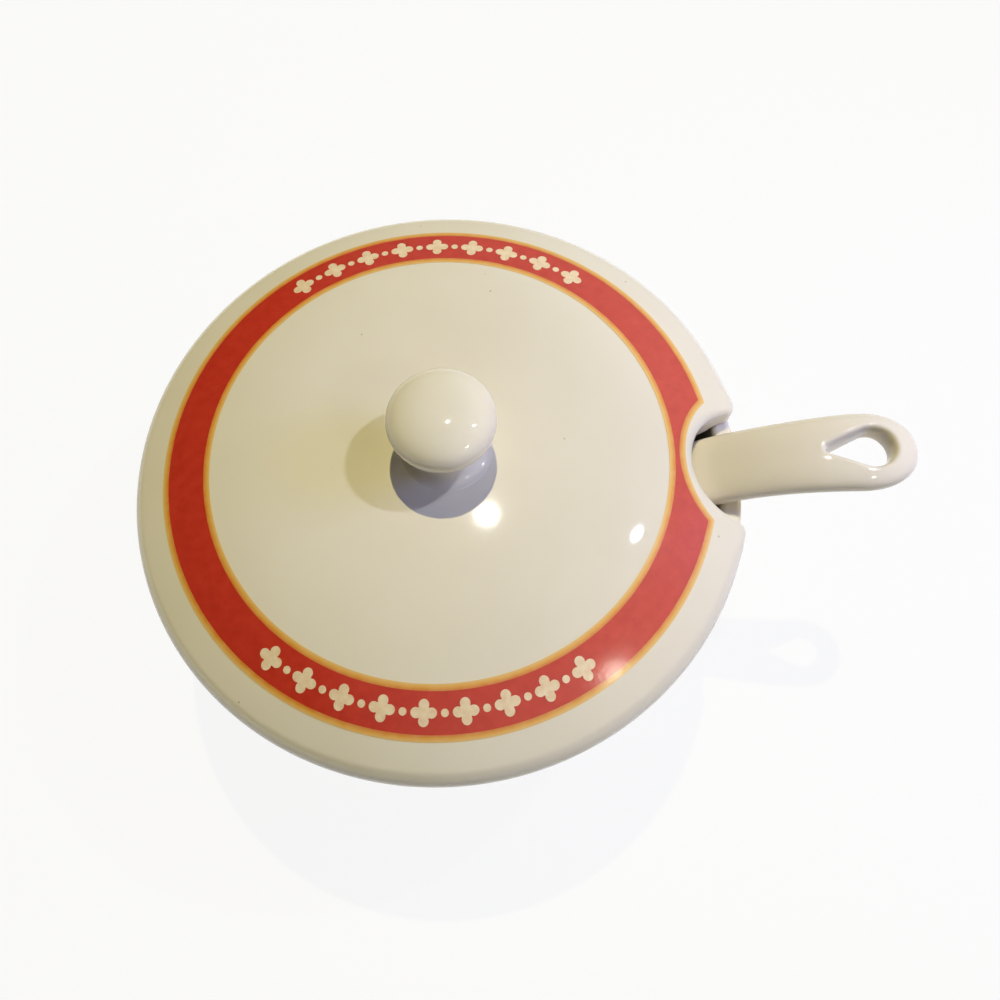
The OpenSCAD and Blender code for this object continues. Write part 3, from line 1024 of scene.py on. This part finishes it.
def floor_material():
    nodes = Nodes(bpy.data.materials.new("pale_floor"))
    nodes.set(Base_Color=FLOOR_COLOUR, Roughness=FLOOR_ROUGHNESS)
    glow = nodes.add("ShaderNodeEmission")
    glow.inputs["Color"].default_value = WHITE
    path = nodes.add("ShaderNodeLightPath")
    seen = nodes.math("MAXIMUM", path.outputs["Is Camera Ray"], path.outputs["Is Glossy Ray"])
    seen = nodes.math("MAXIMUM", seen, path.outputs["Is Transmission Ray"])
    white = nodes.math("MULTIPLY", seen, FLOOR_WHITENESS)
    shown = nodes.mix_shader(white, nodes.shader.outputs["BSDF"], glow.outputs["Emission"])
    nodes.link(shown, nodes.tree.nodes["Material Output"].inputs["Surface"])
    return nodes.owner


# Light
def add_lamp(name, place, aim, size, power, colour, mirrored=True, lights=True):
    """An area lamp turned to what it lights, which can be kept out of the gloss or be seen in it alone."""
    data = bpy.data.lights.new(name, "AREA")
    data.shape = "ELLIPSE"
    data.size, data.size_y = np.array(size) * MM
    data.energy = power
    data.color = colour
    lamp = bpy.data.objects.new(name, data)
    lamp.location = Vector(place) * MM
    lamp.rotation_euler = (Vector(aim) - Vector(place)).to_track_quat("-Z", "Y").to_euler()
    lamp.visible_glossy = mirrored
    lamp.visible_diffuse = lights
    bpy.context.scene.collection.objects.link(lamp)


LID_TOP = (0, 0, CROWN_Z)
BOWL_MIDDLE = (0, 0, BOWL_H / 2)
CEILING = (24, 290, 1020)
CEILING_SIZE = (13, 13)
FILL_SIZE = (400, 80)
FILL_Z = 45


def add_fill(name, x, y, power, colour):
    """A low, wide lamp that lights one side of the bowl and isn't seen in its gloss."""
    add_lamp(name, (x, y, FILL_Z), BOWL_MIDDLE, FILL_SIZE, power, colour, mirrored=False)


def add_lights():
    """Lamps and a window over the lid, and a weak fill on each side of the bowl."""
    add_lamp("ceiling_lamp", CEILING, LID_TOP, CEILING_SIZE, 5.8, (1.0, 0.9, 0.45), mirrored=False)
    add_lamp("ceiling_glint", CEILING, LID_TOP, CEILING_SIZE, 5.2, (1.0, 0.97, 0.9), lights=False)
    add_lamp("right_front_lamp", (165, -126, 290), LID_TOP, (20, 20), 0.05, (1.0, 0.93, 0.75))
    add_lamp("right_back_lamp", (200, 57, 406), LID_TOP, (14, 20), 0.42, (0.76, 0.81, 1.0))
    add_lamp("window", (250, 20, 230), LID_TOP, (120, 120), 0.36, (0.3, 0.38, 1.0), mirrored=False)
    add_fill("left_fill", -520, -60, 0.33, (0.9, 0.92, 0.95))
    add_fill("front_fill", 60, -560, 0.25, (0.93, 0.95, 1.0))
    add_fill("back_fill", 0, 560, 0.45, (0.9, 0.93, 1.0))
    add_fill("right_fill", 540, -40, 0.6, (1.0, 0.85, 0.5))


ROOM_COLOUR = (1.0, 0.92, 0.82, 1.0)
ROOM_STRENGTH = 0.035
PALE_COLOUR = (1.0, 0.94, 0.9, 1.0)
PALE_STRENGTH = 1.9


def add_world():
    """A dim room: the camera sees it white, and the gloss sees it pale towards the right."""
    nodes = Nodes(bpy.data.worlds.new("room"), "Background")
    room = nodes.shader
    room.inputs["Color"].default_value = ROOM_COLOUR
    room.inputs["Strength"].default_value = ROOM_STRENGTH
    direction = nodes.add("ShaderNodeSeparateXYZ")
    nodes.link(nodes.coords.node.outputs["Generated"], direction.inputs["Vector"])
    pale = nodes.add("ShaderNodeBackground")
    pale.inputs["Color"].default_value = PALE_COLOUR
    rightward = nodes.range(direction.outputs["X"], low=-0.45, high=0.55, to_high=PALE_STRENGTH)
    upward = nodes.range(direction.outputs["Z"], low=0, high=0.6, to_low=0.4)
    nodes.link(nodes.math("MULTIPLY", rightward, upward), pale.inputs["Strength"])
    white = nodes.add("ShaderNodeBackground")
    white.inputs["Color"].default_value = WHITE
    path = nodes.add("ShaderNodeLightPath")
    seen = nodes.math("MAXIMUM", path.outputs["Is Camera Ray"], path.outputs["Is Transmission Ray"])
    glossy = path.outputs["Is Glossy Ray"]
    lit = nodes.mix_shader(glossy, room.outputs["Background"], pale.outputs["Background"])
    shown = nodes.mix_shader(seen, lit, white.outputs["Background"])
    nodes.link(shown, nodes.tree.nodes["World Output"].inputs["Surface"])
    bpy.context.scene.world = nodes.owner


# Camera, with its angles in radians
FOCAL_PX = 963.3
IMAGE_PX = 1000
SENSOR = 36
CAMERA_TURN = math.radians(9.7)
CAMERA_ELEVATION = math.radians(65.31)
CAMERA_DISTANCE = 198.6
CAMERA_AIM_Z = 77.4
CAMERA_PAN = 0.0627
CAMERA_TILT = -0.0471
CAMERA_ROLL = math.radians(-9.03)


def turned_pair(a, b, angle):
    """Two directions turned together by an angle, the first towards the second."""
    return math.cos(angle) * a + math.sin(angle) * b, math.cos(angle) * b - math.sin(angle) * a


def add_camera():
    forward = Vector((0, math.cos(CAMERA_ELEVATION), -math.sin(CAMERA_ELEVATION)))
    right = Vector((1, 0, 0))
    up = right.cross(forward)
    place = -CAMERA_DISTANCE * forward
    right, up = turned_pair(right, up, CAMERA_ROLL)
    forward, right = turned_pair(forward, right, CAMERA_PAN)
    forward, up = turned_pair(forward, up, CAMERA_TILT)
    pose = Matrix((right, up, -forward)).transposed().to_4x4()
    pose.translation = place * MM
    swing = Matrix.Rotation(CAMERA_TURN, 4, "Z")
    data = bpy.data.cameras.new("camera")
    data.sensor_width = SENSOR
    data.lens = SENSOR * FOCAL_PX / IMAGE_PX
    data.clip_start = MM
    camera = bpy.data.objects.new("camera", data)
    camera.matrix_world = Matrix.Translation((0, 0, CAMERA_AIM_Z * MM)) @ swing @ pose
    bpy.context.scene.collection.objects.link(camera)
    bpy.context.scene.camera = camera


add_pieces(make_materials())
add_floor()
add_lights()
add_world()
add_camera()
bpy.context.scene.view_settings.view_transform = "Standard"
